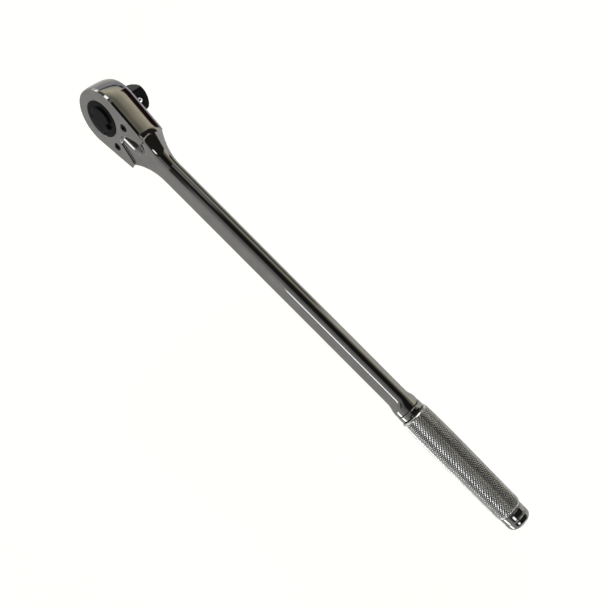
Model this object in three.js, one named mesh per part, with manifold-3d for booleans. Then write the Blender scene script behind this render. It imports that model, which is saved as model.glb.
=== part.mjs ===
// Long-handled reversible ratchet with a 3/4-inch square drive, 500 mm overall.
//
// Millimetres, +Z up. The drive axis is Y and the handle runs along +X. The
// selector dial faces -Y and the square drive points to +Y. Every piece is
// drawn about the point where the drive axis crosses the handle's centre line,
// and the whole tool is then moved so that the origin is the middle of the
// square drive's end face.
//
// The pawl and the dial are drawn in the setting where the pawl's lower end
// holds the gear.
import * as THREE from 'three';
import { mergeVertices } from 'three/addons/utils/BufferGeometryUtils.js';
import Module from 'manifold-3d';

const wasm = await Module();
wasm.setup();

// ---------------------------------------------------------------- dimensions

// Head, seen along the drive axis: a round nose with tangent sides.
const HEAD_CENTRE_X = 1;
const HEAD_RADIUS = 26.4;
const HEAD_END_X = 40.5;
const HEAD_END_HALF_WIDTH = 20.8;
const FACE_Y = -11.75;
const REAR_Y = 11.6;
const BARREL_START_Y = -6;
const BARREL_DEPTH = 2.4;
const BARREL_POWER = 3.5;

// Pointed step in the face, where it drops to the neck.
const STEP_TIP_X = 21.2;
const STEP_BLUNT = 3;
const STEP_TIP_HALF_WIDTH = 4.7;
const STEP_SLOPE = 0.5;
const STEP_FLOOR_Y = -7.5;

// Neck and shank: flat front and back, elliptical sides.
const NECK_END_X = 69;
const NECK_TAPER = 2.1;
const NECK = { flat: 16.2, side: 4.2, front: -9.3, rear: 11.3 };
const SHANK = { flat: 5.5, side: 5.75, front: -6.75, rear: 6.75 };
const COLLAR_ROUND = { flat: 0.05, side: 11.25, front: -11.3, rear: 11.3 };
const FLARE_START_X = 329;
const FLARE_END_X = 338;
const SHOULDER_X = 341.5;

// Grip end.
const SPIGOT_RADIUS = 8;
const SPIGOT_END_X = 455;
const STUD_RADIUS = 5;
const STUD_START_X = 441;
const COLLAR_X = [342, 347.6];
const COLLAR_RADIUS = 11.5;
const GRIP_X = [348, 460.5];
const CAP_X = [461, 475];
const CAP_RADIUS = 11.3;

// Gear and square drive.
const TEETH = 24;
const TOOTH_TIP_RADIUS = 15.6;
const TOOTH_ROOT_RADIUS = 14;
const GEAR_Y = [-2.3, 6.2];
const HUB_RADIUS = 14.3;
const HUB_END_Y = 11.75;
const SQUARE_SIDE = 19.05;
const SQUARE_CORNER_RADIUS = 12.9;
const SQUARE_END_Y = 32;
const BALL_RADIUS = 2.75;
const BALL_Y = 23.5;
const BALL_OUT = 7.9;

// Bores in the head.
const BORE_RADIUS = 16;
const BORE_FLOOR_Y = -6;
const COVER_SEAT_Y = 9.35;
const COVER_INSET = 6.8;
const COVER_END_X = 34;
const COVER_Y = [9.65, 11.4];
const FIT = 0.3;

// Selector dial and the arm that it turns.
const DIAL_RADIUS = 15.7;
const DIAL_KNOB_RADIUS = 10.6;
const DIAL_TOP_Y = -13.9;
const DIAL_RIM_Y = -11.95;
const DIAL_BACK_Y = -10.05;
const DIAL_FLOOR_Y = -9.75;
const STEM_RADIUS = 5.1;
const STEM_FLAT = 4;
const ARM_Y = [-5.7, -2.7];
const ARM_REACH = 15.4;
const ARM_THICK_MIDDLE_Y = (ARM_Y[0] + ARM_Y[1]) / 2;
const PLUNGER_RADIUS = 0.85;
const PLUNGER_REACH = 18.95;
const DIAL_THROW = 30;
const DETENT_RADIUS = 11;
const DETENT_BALL_RADIUS = 1.25;
const DETENT_BALL_Y = -9.45;

// Rocking pawl.
const PIVOT_X = 26.5;
const PAWL_THROW = 7.5;
const PAWL_Y = [-2.1, 6];
const LUG_Y = [-5.6, -2.1];
const PIN_RADIUS = 2.45;
const TOOTH_PLAY = 0.2;

// Screws that hold the cover, entered from the dial face.
const SCREW_X = 21;
const SCREW_Z = 13.2;
const SCREW_HEAD_RADIUS = 3.2;
const SCREW_SHANK_RADIUS = 1.9;

// ------------------------------------------------------------------- helpers

const radians = THREE.MathUtils.degToRad;

// Turn a closed three.js geometry into a solid that can be cut and joined.
function solid(geometry) {
  const bare = geometry.clone();
  bare.deleteAttribute('normal');
  bare.deleteAttribute('uv');
  const merged = mergeVertices(bare, 1e-4);
  const position = merged.attributes.position;
  const corners = [0, 1, 2].map(() => new THREE.Vector3());
  const triangles = [];
  let volume = 0;
  for (let i = 0; i < merged.index.count; i += 3) {
    const triangle = [0, 1, 2].map((k) => merged.index.getX(i + k));
    if (new Set(triangle).size === 3) {
      corners.forEach((corner, k) => corner.fromBufferAttribute(position, triangle[k]));
      volume += corners[0].dot(corners[1].clone().cross(corners[2]));
      triangles.push(triangle);
    }
  }
  const turned = volume < 0 ? triangles.map((triangle) => triangle.reverse()) : triangles;
  return new wasm.Manifold(new wasm.Mesh({
    numProp: 3,
    vertProperties: new Float32Array(position.array),
    triVerts: new Uint32Array(turned.flat()),
  }));
}

// Skin a row of closed rings that all have the same number of points.
function skin(rings) {
  const count = rings[0].length;
  const points = rings.flat();
  const index = [];
  for (let ring = 0; ring + 1 < rings.length; ring += 1) {
    for (let i = 0; i < count; i += 1) {
      const a = ring * count + i;
      const b = ring * count + (i + 1) % count;
      index.push(a, b, a + count, b, b + count, a + count);
    }
  }
  for (const [ring, first] of [[rings[0], 0], [rings.at(-1), (rings.length - 1) * count]]) {
    const middle = new THREE.Vector3();
    ring.forEach((point) => middle.addScaledVector(point, 1 / count));
    const hub = points.push(middle) - 1;
    for (let i = 0; i < count; i += 1) {
      const a = first + i;
      const b = first + (i + 1) % count;
      index.push(...(first === 0 ? [hub, b, a] : [hub, a, b]));
    }
  }
  const geometry = new THREE.BufferGeometry().setFromPoints(points);
  geometry.setIndex(index);
  return solid(geometry);
}

// Extrude a plan shape, drawn with x and z, between two heights on the Y axis.
function plate(shape, [fromY, toY], curveSegments = 24) {
  const settings = { depth: toY - fromY, bevelEnabled: false, curveSegments };
  const geometry = new THREE.ExtrudeGeometry(shape, settings);
  return solid(geometry.rotateX(Math.PI / 2).translate(0, toY, 0));
}

// Turn a profile of [radius, y] points about the Y axis.
function turned(profile, segments = 64) {
  const points = profile.map(([radius, y]) => new THREE.Vector2(radius, y));
  return solid(new THREE.LatheGeometry(points, segments));
}

// Turn a profile of [x, radius] points about the X axis.
function turnedAlongX(profile, segments = 64) {
  const points = profile.map(([x, radius]) => new THREE.Vector2(radius, x));
  return solid(new THREE.LatheGeometry(points, segments).rotateZ(-Math.PI / 2));
}

// A closed ring of rectangular section about the Y axis.
function washer(inner, outer, [fromY, toY], segments = 48) {
  return turned([[inner, fromY], [outer, fromY], [outer, toY], [inner, toY], [inner, fromY]], segments);
}

// A cylinder along Y.
function rod(radius, [fromY, toY], x = 0, z = 0, segments = 40) {
  return turned([[0, fromY], [radius, fromY], [radius, toY], [0, toY]], segments).translate([x, 0, z]);
}

// A cylinder along X.
function barAlongX(radius, [fromX, toX], y = 0, z = 0, segments = 24) {
  return turnedAlongX([[fromX, 0], [fromX, radius], [toX, radius], [toX, 0]], segments).translate([0, y, z]);
}

function sphere(radius, x, y, z) {
  return solid(new THREE.SphereGeometry(radius, 20, 12)).translate([x, y, z]);
}

function circleShape(radius, x = 0, z = 0) {
  return new THREE.Shape().absarc(x, z, radius, 0, Math.PI * 2);
}

function planShape(points) {
  return new THREE.Shape(points.map(([x, z]) => new THREE.Vector2(x, z)));
}

// Close a plan outline from points on its +Z side, mirrored to the -Z side.
function mirroredShape(points) {
  return planShape([...points, ...points.toReversed().map(([x, z]) => [x, -z])]);
}

// Turn a solid about an axis along Y. A positive angle takes +X towards +Z.
function swing(part, angle, x = 0) {
  return part.translate([-x, 0, 0]).rotate([0, -angle, 0]).translate([x, 0, 0]);
}

class Helix extends THREE.Curve {
  constructor(radius, turns, height) {
    super();
    Object.assign(this, { radius, turns, height });
  }

  getPoint(t, target = new THREE.Vector3()) {
    const angle = t * this.turns * Math.PI * 2;
    return target.set(this.radius * Math.cos(angle), t * this.height, this.radius * Math.sin(angle));
  }
}

// A compression spring along Y, with its lowest coil at fromY.
function spring(coilRadius, wireRadius, turns, [fromY, toY]) {
  const path = new Helix(coilRadius, turns, toY - fromY - 2 * wireRadius);
  const settings = { extrudePath: path, steps: turns * 12, bevelEnabled: false, curveSegments: 3 };
  const geometry = new THREE.ExtrudeGeometry(circleShape(wireRadius), settings);
  return solid(geometry).translate([0, fromY + wireRadius, 0]);
}

const FINISH = {
  chrome: { color: 0xc8cacd, roughness: 0.1, metalness: 1 },
  knurl: { color: 0xb9bab8, roughness: 0.34, metalness: 1 },
  black: { color: 0x161617, roughness: 0.42, metalness: 0.6 },
  steel: { color: 0x8d8f92, roughness: 0.3, metalness: 1 },
  spring: { color: 0x6d6a64, roughness: 0.35, metalness: 1 },
  bronze: { color: 0xa2794a, roughness: 0.35, metalness: 1 },
  rubber: { color: 0x111111, roughness: 0.85, metalness: 0 },
};

const tool = new THREE.Group();

function add(name, part, finish) {
  const mesh = part.getMesh();
  const geometry = new THREE.BufferGeometry();
  geometry.setAttribute('position', new THREE.BufferAttribute(mesh.vertProperties, mesh.numProp));
  geometry.setIndex(new THREE.BufferAttribute(mesh.triVerts, 1));
  geometry.computeVertexNormals();
  const piece = new THREE.Mesh(geometry, new THREE.MeshStandardMaterial(FINISH[finish]));
  piece.name = name;
  tool.add(piece);
}

// --------------------------------------------------------------- the forging

// Angle at which the head's straight sides leave the round nose.
const cornerX = HEAD_END_X - HEAD_CENTRE_X;
const cornerReach = Math.hypot(cornerX, HEAD_END_HALF_WIDTH);
const sideAngle = Math.atan2(HEAD_END_HALF_WIDTH, cornerX) + Math.acos(HEAD_RADIUS / cornerReach);

// Plan outline of the head, moved in by an inset; endX is its handle end.
function headOutline(inset, endX = HEAD_END_X, arcSteps = 48) {
  const radius = HEAD_RADIUS - inset;
  const endZ = (radius - (endX - HEAD_CENTRE_X) * Math.cos(sideAngle)) / Math.sin(sideAngle);
  const outline = [[endX, endZ]];
  for (let i = 0; i <= arcSteps; i += 1) {
    const angle = sideAngle + (2 * Math.PI - 2 * sideAngle) * i / arcSteps;
    outline.push([HEAD_CENTRE_X + radius * Math.cos(angle), radius * Math.sin(angle)]);
  }
  outline.push([endX, -endZ]);
  return outline;
}

function headBlock() {
  const levels = [[FACE_Y, 0.7], [FACE_Y + 0.25, 0.3], [FACE_Y + 0.7, 0.1]];
  for (let angle = 0; angle <= 90; angle += 10) {
    const rise = Math.sin(radians(angle)) ** (2 / BARREL_POWER);
    const spare = Math.cos(radians(angle)) ** (2 / BARREL_POWER);
    levels.push([BARREL_START_Y + (REAR_Y - BARREL_START_Y) * rise, BARREL_DEPTH * (1 - spare)]);
  }
  return skin(levels.map(([y, inset]) => headOutline(inset).map(([x, z]) => new THREE.Vector3(x, y, z))));
}

// One cross section of the neck or shank.
function sectionRing(x, { flat, side, front, rear }, steps = 12) {
  const ring = [];
  const middle = (front + rear) / 2;
  const half = (rear - front) / 2;
  for (const direction of [1, -1]) {
    for (let i = 0; i <= steps; i += 1) {
      const angle = radians(-90 + 180 * i / steps);
      const z = flat + side * Math.cos(angle);
      ring.push(new THREE.Vector3(x, middle + direction * half * Math.sin(angle), direction * z));
    }
  }
  return ring;
}

function blend(from, to, share) {
  const mix = (key) => THREE.MathUtils.lerp(from[key], to[key], share);
  return { flat: mix('flat'), side: mix('side'), front: mix('front'), rear: mix('rear') };
}

function handleBar() {
  const rings = [sectionRing(STEP_TIP_X - 2, NECK), sectionRing(HEAD_END_X, NECK)];
  const neckSteps = 14;
  for (let i = 1; i <= neckSteps; i += 1) {
    const share = i / neckSteps;
    const x = THREE.MathUtils.lerp(HEAD_END_X, NECK_END_X, share);
    rings.push(sectionRing(x, blend(SHANK, NECK, (1 - share) ** NECK_TAPER)));
  }
  const flareSteps = 8;
  for (let i = 0; i <= flareSteps; i += 1) {
    const share = i / flareSteps;
    const x = THREE.MathUtils.lerp(FLARE_START_X, FLARE_END_X, share);
    rings.push(sectionRing(x, blend(SHANK, COLLAR_ROUND, THREE.MathUtils.smoothstep(share, 0, 1))));
  }
  rings.push(sectionRing(SHOULDER_X, COLLAR_ROUND));
  return skin(rings);
}

// The region of the face that drops to the neck, from its tip to the handle.
function stepRegion() {
  const shape = new THREE.Shape();
  const start = STEP_TIP_X + STEP_BLUNT;
  const half = STEP_TIP_HALF_WIDTH + STEP_SLOPE * STEP_BLUNT;
  const farX = 50;
  const farHalf = STEP_TIP_HALF_WIDTH + STEP_SLOPE * (farX - STEP_TIP_X);
  shape.moveTo(STEP_TIP_X, 0);
  shape.quadraticCurveTo(STEP_TIP_X, 0.75 * half, start, half);
  shape.lineTo(farX, farHalf);
  shape.lineTo(farX, -farHalf);
  shape.lineTo(start, -half);
  shape.quadraticCurveTo(STEP_TIP_X, -0.75 * half, STEP_TIP_X, 0);
  return plate(shape, [FACE_Y - 1, STEP_FLOOR_Y], 10);
}

// Room for the pawl and its swing, open to the gear's bore.
const POCKET_OUTLINE = [[6, 13.6], [15.2, 13.6], [18.5, 10.3], [25, 8.6], [32, 7]];
const DETENT_HOLE_Y = [-6.6, DIAL_FLOOR_Y - 1];

function forging() {
  const spigot = barAlongX(SPIGOT_RADIUS, [SHOULDER_X - 1, SPIGOT_END_X], 0, 0, 48);
  const outside = headBlock().subtract(stepRegion()).add(handleBar()).add(spigot);
  const cuts = [
    rod(BORE_RADIUS, [BORE_FLOOR_Y, REAR_Y + 1], 0, 0, 72),
    plate(mirroredShape(POCKET_OUTLINE), [BORE_FLOOR_Y, REAR_Y]),
    plate(planShape(headOutline(COVER_INSET - FIT, COVER_END_X + FIT)), [COVER_SEAT_Y, REAR_Y + 1]),
    rod(DIAL_RADIUS + 0.25, [FACE_Y - 1, DIAL_FLOOR_Y], 0, 0, 72),
    rod(STEM_RADIUS + FIT, [DIAL_FLOOR_Y - 1, BORE_FLOOR_Y + 1]),
    washer(6.3, 7.7, [DIAL_FLOOR_Y - 1, DIAL_FLOOR_Y + 0.9]),
    rod(DETENT_BALL_RADIUS + 0.15, [DETENT_HOLE_Y[1], DETENT_HOLE_Y[0]], -DETENT_RADIUS, 0, 24),
    rod(PIN_RADIUS + 0.05, [-7.6, BORE_FLOOR_Y + 1], PIVOT_X),
    barAlongX(STUD_RADIUS + FIT, [STUD_START_X - 1, SPIGOT_END_X + 1]),
  ];
  for (const z of [SCREW_Z, -SCREW_Z]) {
    cuts.push(rod(SCREW_SHANK_RADIUS + 0.2, [FACE_Y - 1, COVER_SEAT_Y + 1], SCREW_X, z, 24));
    cuts.push(rod(SCREW_HEAD_RADIUS + 0.2, [FACE_Y - 1, FACE_Y + 3], SCREW_X, z, 32));
  }
  return cuts.reduce((body, cut) => body.subtract(cut), outside);
}

add('ratchet_body', forging(), 'chrome');

// ------------------------------------------------------ gear and square drive

// Gear outline; grow widens every tooth, to cut a mating tooth with play.
function gearShape(grow) {
  const points = [];
  const tip = TOOTH_TIP_RADIUS + grow;
  const root = TOOTH_ROOT_RADIUS + grow;
  const tipHalf = radians(1.5) + grow / TOOTH_TIP_RADIUS;
  const rootHalf = radians(6) + grow / TOOTH_ROOT_RADIUS;
  for (let tooth = 0; tooth < TEETH; tooth += 1) {
    const middle = 2 * Math.PI * tooth / TEETH;
    for (const [radius, angle] of [[root, -rootHalf], [tip, -tipHalf], [tip, tipHalf], [root, rootHalf]]) {
      points.push(new THREE.Vector2(radius * Math.cos(middle + angle), radius * Math.sin(middle + angle)));
    }
  }
  return new THREE.Shape(points);
}

// Square drive with rounded corners and a domed end, one corner towards +X.
function squareDrive() {
  const fromY = HUB_END_Y - 1;
  const block = new THREE.BoxGeometry(SQUARE_SIDE, SQUARE_END_Y - fromY, SQUARE_SIDE);
  block.translate(0, (SQUARE_END_Y + fromY) / 2, 0).rotateY(radians(45));
  const profile = [[0, fromY], [SQUARE_CORNER_RADIUS, fromY], [SQUARE_CORNER_RADIUS, SQUARE_END_Y - 5]];
  for (let angle = 15; angle <= 75; angle += 15) {
    const radius = SQUARE_CORNER_RADIUS - 5.5 * (1 - Math.cos(radians(angle)));
    profile.push([radius, SQUARE_END_Y - 5 + 5 * Math.sin(radians(angle))]);
  }
  profile.push([SQUARE_CORNER_RADIUS - 5.5, SQUARE_END_Y], [0, SQUARE_END_Y]);
  return solid(block).intersect(turned(profile));
}

// A part drawn along +X, turned to the way out of the square's detent.
const towardsDetent = (part) => swing(part, 45);

function driveGear() {
  const ballHole = towardsDetent(barAlongX(BALL_RADIUS + 0.15, [1.6, 14], BALL_Y, 0, 32));
  const clipRoom = rod(7.2, [GEAR_Y[0] - 1, -0.8]);
  return plate(gearShape(0), GEAR_Y)
    .add(rod(HUB_RADIUS, [GEAR_Y[1] - 0.1, HUB_END_Y], 0, 0, 72))
    .add(squareDrive())
    .subtract(ballHole)
    .subtract(clipRoom);
}

add('drive_gear', driveGear(), 'black');
add('drive_detent_ball', towardsDetent(sphere(BALL_RADIUS, BALL_OUT, BALL_Y, 0)), 'steel');

// The spring stands on the hole's floor, with its axis turned from Y to X.
const ballSpring = spring(2.1, 0.3, 3, [1.8, BALL_OUT - BALL_RADIUS - 0.1]).rotate([0, 0, -90]);
add('drive_detent_spring', towardsDetent(ballSpring.translate([0, BALL_Y, 0])), 'spring');

// ------------------------------------------------------- cover, screws, seals

add('gear_thrust_washer', washer(14.6, 15.8, [6.5, 7.3]), 'bronze');

function ringSeal(majorRadius, wireRadius, y) {
  const profile = [];
  const sides = 8;
  for (let i = 0; i <= sides; i += 1) {
    const angle = 2 * Math.PI * i / sides;
    profile.push([majorRadius + wireRadius * Math.cos(angle), y + wireRadius * Math.sin(angle)]);
  }
  return turned(profile, 40);
}

add('gear_seal_ring', ringSeal(15.15, 0.4, 8.8), 'rubber');

function coverPlate() {
  const outline = planShape(headOutline(COVER_INSET, COVER_END_X));
  let cover = plate(outline, COVER_Y).subtract(rod(HUB_RADIUS + FIT, [COVER_Y[0] - 1, COVER_Y[1] + 1], 0, 0, 72));
  for (const z of [SCREW_Z, -SCREW_Z]) {
    cover = cover.subtract(rod(SCREW_SHANK_RADIUS + 0.15, [COVER_Y[0] - 1, COVER_Y[1] + 1], SCREW_X, z, 24));
  }
  return cover;
}

add('cover_plate', coverPlate(), 'chrome');

// Round-headed screw with a hexagon socket, in a counterbore of the face.
function coverScrew(z) {
  const headTop = FACE_Y - 0.2;
  const profile = [
    [0, headTop],
    [SCREW_HEAD_RADIUS - 0.6, headTop],
    [SCREW_HEAD_RADIUS, headTop + 0.6],
    [SCREW_HEAD_RADIUS, FACE_Y + 2.7],
    [SCREW_SHANK_RADIUS, FACE_Y + 2.7],
    [SCREW_SHANK_RADIUS, COVER_Y[1] - 0.2],
    [0, COVER_Y[1] - 0.2],
  ];
  const socket = rod(1.6, [headTop - 1, headTop + 1.6], 0, 0, 6);
  return turned(profile, 32).subtract(socket).translate([SCREW_X, 0, z]);
}

add('cover_screw_upper', coverScrew(SCREW_Z), 'black');
add('cover_screw_lower', coverScrew(-SCREW_Z), 'black');

// ------------------------------------------------- dial, shift arm and plunger

// Parts that turn with the dial are drawn with the arm along +X, then set.
const atDialSetting = (part) => swing(part, DIAL_THROW / 2);

function dialStem(radius, flat, [fromY, toY]) {
  const side = 4 * radius;
  const slab = solid(new THREE.BoxGeometry(side, toY - fromY + 2, side));
  return rod(radius, [fromY, toY], 0, 0, 48).subtract(slab.translate([-flat - side / 2, (fromY + toY) / 2, 0]));
}

// Track under the dial for the detent ball, centred on -X.
function detentTrack() {
  const half = radians(DIAL_THROW / 2 + 9);
  const width = DETENT_BALL_RADIUS + 0.25;
  const shape = new THREE.Shape();
  shape.absarc(0, 0, DETENT_RADIUS + width, Math.PI - half, Math.PI + half);
  shape.absarc(0, 0, DETENT_RADIUS - width, Math.PI + half, Math.PI - half, true);
  return plate(shape, [DIAL_BACK_Y - 0.9, DIAL_BACK_Y + 1]);
}

function selectorDial() {
  const profile = [
    [0, DIAL_TOP_Y],
    [DIAL_KNOB_RADIUS - 0.8, DIAL_TOP_Y],
    [DIAL_KNOB_RADIUS, DIAL_TOP_Y + 0.8],
    [DIAL_KNOB_RADIUS, DIAL_RIM_Y],
    [DIAL_RADIUS - 0.4, DIAL_RIM_Y],
    [DIAL_RADIUS, DIAL_RIM_Y + 0.4],
    [DIAL_RADIUS, DIAL_BACK_Y],
    [0, DIAL_BACK_Y],
  ];
  let dial = turned(profile, 72)
    .add(rod(STEM_RADIUS, [DIAL_BACK_Y - 0.5, ARM_Y[0] - 0.2]))
    .add(dialStem(STEM_RADIUS, STEM_FLAT, [ARM_Y[0] - 0.5, ARM_Y[1] + 0.1]))
    .add(rod(3.8, [ARM_Y[1] - 0.5, -1.5]))
    .add(dialStem(STEM_RADIUS - 0.2, STEM_FLAT, [-1.7, -1.3]))
    .subtract(detentTrack());
  for (const x of [9.6, -9.6]) {
    dial = dial.subtract(rod(2.6, [DIAL_TOP_Y - 1, DIAL_TOP_Y + 1.1], x, 0, 32));
  }
  return dial;
}

add('selector_dial', atDialSetting(selectorDial()), 'black');
add('dial_seal_ring', ringSeal(7, 0.45, -9.4), 'rubber');
add('dial_detent_ball', sphere(DETENT_BALL_RADIUS, -DETENT_RADIUS, DETENT_BALL_Y, 0), 'steel');
add('dial_detent_spring', spring(0.95, 0.14, 2, [-8.1, -6.7]).translate([-DETENT_RADIUS, 0, 0]), 'spring');

function shiftArm() {
  const bar = new THREE.Shape();
  bar.moveTo(0, -3.3);
  bar.lineTo(ARM_REACH - 0.8, -3.3);
  bar.lineTo(ARM_REACH - 0.8, 3.3);
  bar.lineTo(0, 3.3);
  return plate(circleShape(8.4), ARM_Y)
    .add(plate(bar, ARM_Y))
    .subtract(dialStem(STEM_RADIUS + 0.15, STEM_FLAT + 0.15, [ARM_Y[0] - 1, ARM_Y[1] + 1]))
    .subtract(barAlongX(PLUNGER_RADIUS + 0.15, [8.7, ARM_REACH + 1], ARM_THICK_MIDDLE_Y));
}

add('shift_arm', atDialSetting(shiftArm()), 'steel');

// Open clip that holds the shift arm on the dial's stem.
function stemClip() {
  const mouth = plate(mirroredShape([[0, 2.2], [8, 2.2]]), [-4, 0]);
  return washer(4, 6.6, [-2.5, -1.85], 48).subtract(mouth);
}

add('dial_stem_clip', atDialSetting(stemClip()), 'spring');

function shiftPlunger() {
  const profile = [[12.9, 0], [12.9, PLUNGER_RADIUS]];
  for (let angle = 0; angle <= 90; angle += 15) {
    const x = PLUNGER_REACH - PLUNGER_RADIUS + PLUNGER_RADIUS * Math.sin(radians(angle));
    profile.push([x, PLUNGER_RADIUS * Math.cos(radians(angle))]);
  }
  profile.at(-1)[1] = 0;
  return turnedAlongX(profile, 24).translate([0, ARM_THICK_MIDDLE_Y, 0]);
}

add('shift_plunger', atDialSetting(shiftPlunger()), 'steel');

const plungerSpring = spring(0.62, 0.13, 6, [8.85, 12.8]).rotate([0, 0, -90]);
add('shift_plunger_spring', atDialSetting(plungerSpring.translate([0, ARM_THICK_MIDDLE_Y, 0])), 'spring');

// ---------------------------------------------------------------------- pawl

// Pawl with toothed ends, drawn half way between its two settings.
function rockingPawl() {
  const outline = [[9.6, 9.2], [12.9, 11.5], [16.6, 9.4], [19.6, 6.6], [25, 5.4], [30.2, 3.4]];
  const lug = plate(mirroredShape([[18, 5.9], [25, 5.2], [30.2, 3.2]]), LUG_Y);
  let pawl = plate(mirroredShape(outline), PAWL_Y)
    .subtract(rod(TOOTH_TIP_RADIUS + 0.7, [PAWL_Y[0] - 1, PAWL_Y[1] + 1], 0, 0, 96).subtract(toothEnds()))
    .add(lug.subtract(rod(PLUNGER_REACH + 0.35, [LUG_Y[0] - 1, PAWL_Y[0]], 0, 0, 128)))
    .subtract(rod(PIN_RADIUS + FIT, [LUG_Y[0] - 1, PAWL_Y[1] + 1], PIVOT_X));
  const mate = plate(gearShape(TOOTH_PLAY), [PAWL_Y[0] - 1, PAWL_Y[1] + 1]);
  for (const side of [1, -1]) {
    pawl = pawl.subtract(swing(mate, side * PAWL_THROW / 2, PIVOT_X));
  }
  return pawl;
}

// The two wedges of the pawl that reach in between the gear's teeth.
function toothEnds() {
  const wedge = (sign) => {
    const shape = new THREE.Shape();
    shape.moveTo(0, 0);
    shape.absarc(0, 0, 25, sign * radians(16), sign * radians(46), sign < 0);
    shape.lineTo(0, 0);
    return plate(shape, [PAWL_Y[0] - 2, PAWL_Y[1] + 2]);
  };
  return wedge(1).add(wedge(-1));
}

add('reversing_pawl', swing(rockingPawl(), -PAWL_THROW / 2, PIVOT_X), 'steel');
add('pawl_pin', rod(PIN_RADIUS, [-7.4, 8.3], PIVOT_X), 'steel');

// ---------------------------------------------------------------- grip pieces

const gripBore = SPIGOT_RADIUS + FIT;

function closedTube(outside, [fromX, toX]) {
  return turnedAlongX([[fromX, gripBore], ...outside, [toX, gripBore], [fromX, gripBore]], 56);
}

function collar() {
  const [fromX, toX] = COLLAR_X;
  const outside = [
    [fromX, COLLAR_RADIUS - 0.5],
    [fromX + 0.5, COLLAR_RADIUS],
    [toX - 0.5, COLLAR_RADIUS],
    [toX, COLLAR_RADIUS - 0.5],
  ];
  return closedTube(outside, COLLAR_X);
}

add('grip_collar', collar(), 'chrome');

// The grip is fullest a third of the way along and narrows to its end.
function gripSleeve() {
  const [fromX, toX] = GRIP_X;
  const outside = [
    [fromX, 11.9],
    [fromX + 1, 12.7],
    [fromX + 16, 13.05],
    [fromX + 36, 13.2],
    [fromX + 63, 12.95],
    [toX - 23, 12.65],
    [toX - 1, 12.45],
    [toX, 11.7],
  ];
  return closedTube(outside, GRIP_X);
}

add('knurled_grip', gripSleeve(), 'knurl');

function endCap() {
  const [fromX, toX] = CAP_X;
  const grooveX = fromX + 6;
  const profile = [
    [STUD_START_X, 0],
    [STUD_START_X, STUD_RADIUS],
    [fromX, STUD_RADIUS],
    [fromX, CAP_RADIUS - 0.4],
    [fromX + 0.4, CAP_RADIUS],
    [grooveX, CAP_RADIUS],
    [grooveX + 0.5, CAP_RADIUS - 0.6],
    [grooveX + 1, CAP_RADIUS],
  ];
  const roundRadius = 4;
  for (let angle = 0; angle <= 90; angle += 15) {
    const x = toX - roundRadius + roundRadius * Math.sin(radians(angle));
    profile.push([x, CAP_RADIUS - roundRadius + roundRadius * Math.cos(radians(angle))]);
  }
  profile.push([toX, 0]);
  return turnedAlongX(profile, 56);
}

add('grip_end_cap', endCap(), 'chrome');

// -------------------------------------------------------------- whole object

tool.position.y = -SQUARE_END_Y;

const group = new THREE.Group();
group.name = 'ratchet_handle';
group.add(tool);
export default group;
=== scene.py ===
"""Looks of a 3/4-inch reversible ratchet handle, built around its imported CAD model.

Shapes are drawn in millimetres about the point where the drive axis crosses the
handle's centre line. The drive axis is Y, the handle runs along +X, the dial
faces -Y and the square points to +Y. Surface.finish moves each shape into the
frame, in metres.
"""
import math

import bmesh
import bpy
from mathutils import Matrix, Vector
from mathutils.geometry import tessellate_polygon


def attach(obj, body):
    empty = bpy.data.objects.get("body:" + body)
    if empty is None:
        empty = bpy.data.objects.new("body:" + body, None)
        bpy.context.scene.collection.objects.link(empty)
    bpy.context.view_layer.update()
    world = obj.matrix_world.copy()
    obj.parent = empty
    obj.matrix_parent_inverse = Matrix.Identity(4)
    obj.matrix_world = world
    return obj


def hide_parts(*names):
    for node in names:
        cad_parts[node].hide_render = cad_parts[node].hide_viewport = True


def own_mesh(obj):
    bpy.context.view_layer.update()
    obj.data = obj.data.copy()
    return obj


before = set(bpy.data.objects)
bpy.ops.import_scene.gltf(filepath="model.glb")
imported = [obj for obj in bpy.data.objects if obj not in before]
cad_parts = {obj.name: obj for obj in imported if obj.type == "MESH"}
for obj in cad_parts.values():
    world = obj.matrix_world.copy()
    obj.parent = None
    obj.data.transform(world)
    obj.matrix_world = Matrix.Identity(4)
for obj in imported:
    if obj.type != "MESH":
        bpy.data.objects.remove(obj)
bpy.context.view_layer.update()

# ---------------------------------------------------------------- dimensions

PIVOT_Y = -32.0

# Head, seen along the drive axis: a round nose with tangent sides.
HEAD_CENTRE_X = 1.0
HEAD_RADIUS = 26.4
HEAD_END_X = 40.5
HEAD_END_HALF_WIDTH = 20.8
FACE_Y = -11.75
REAR_Y = 11.6
FACE_INSET = 0.95
FACE_EDGE = 0.25
DRAFT_END_Y = -9.4
SIDE_EASE_X = 33.5
SIDE_EASE_RADIUS = 9.0
SIDE_EASE_LOSS = 0.85
SIDE_EASE_FADE = (-2.0, 6.0)
DRAFT_CURVE = 1.25
HEAD_ARC_STEPS = 112
HEAD_SIDE_STEPS = 30
# Height and inset down the head's side, from the draft to the rear.
SIDE_PROFILE = [(DRAFT_END_Y, 0.16), (-6.3, 0.03), (-3.2, 0.0), (0.5, 0.07), (4.2, 0.3), (6.3, 0.58),
                (8.5, 1.0), (10.2, 1.6), (11.0, 2.0), (11.4, 2.4), (11.6, 2.9)]

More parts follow.
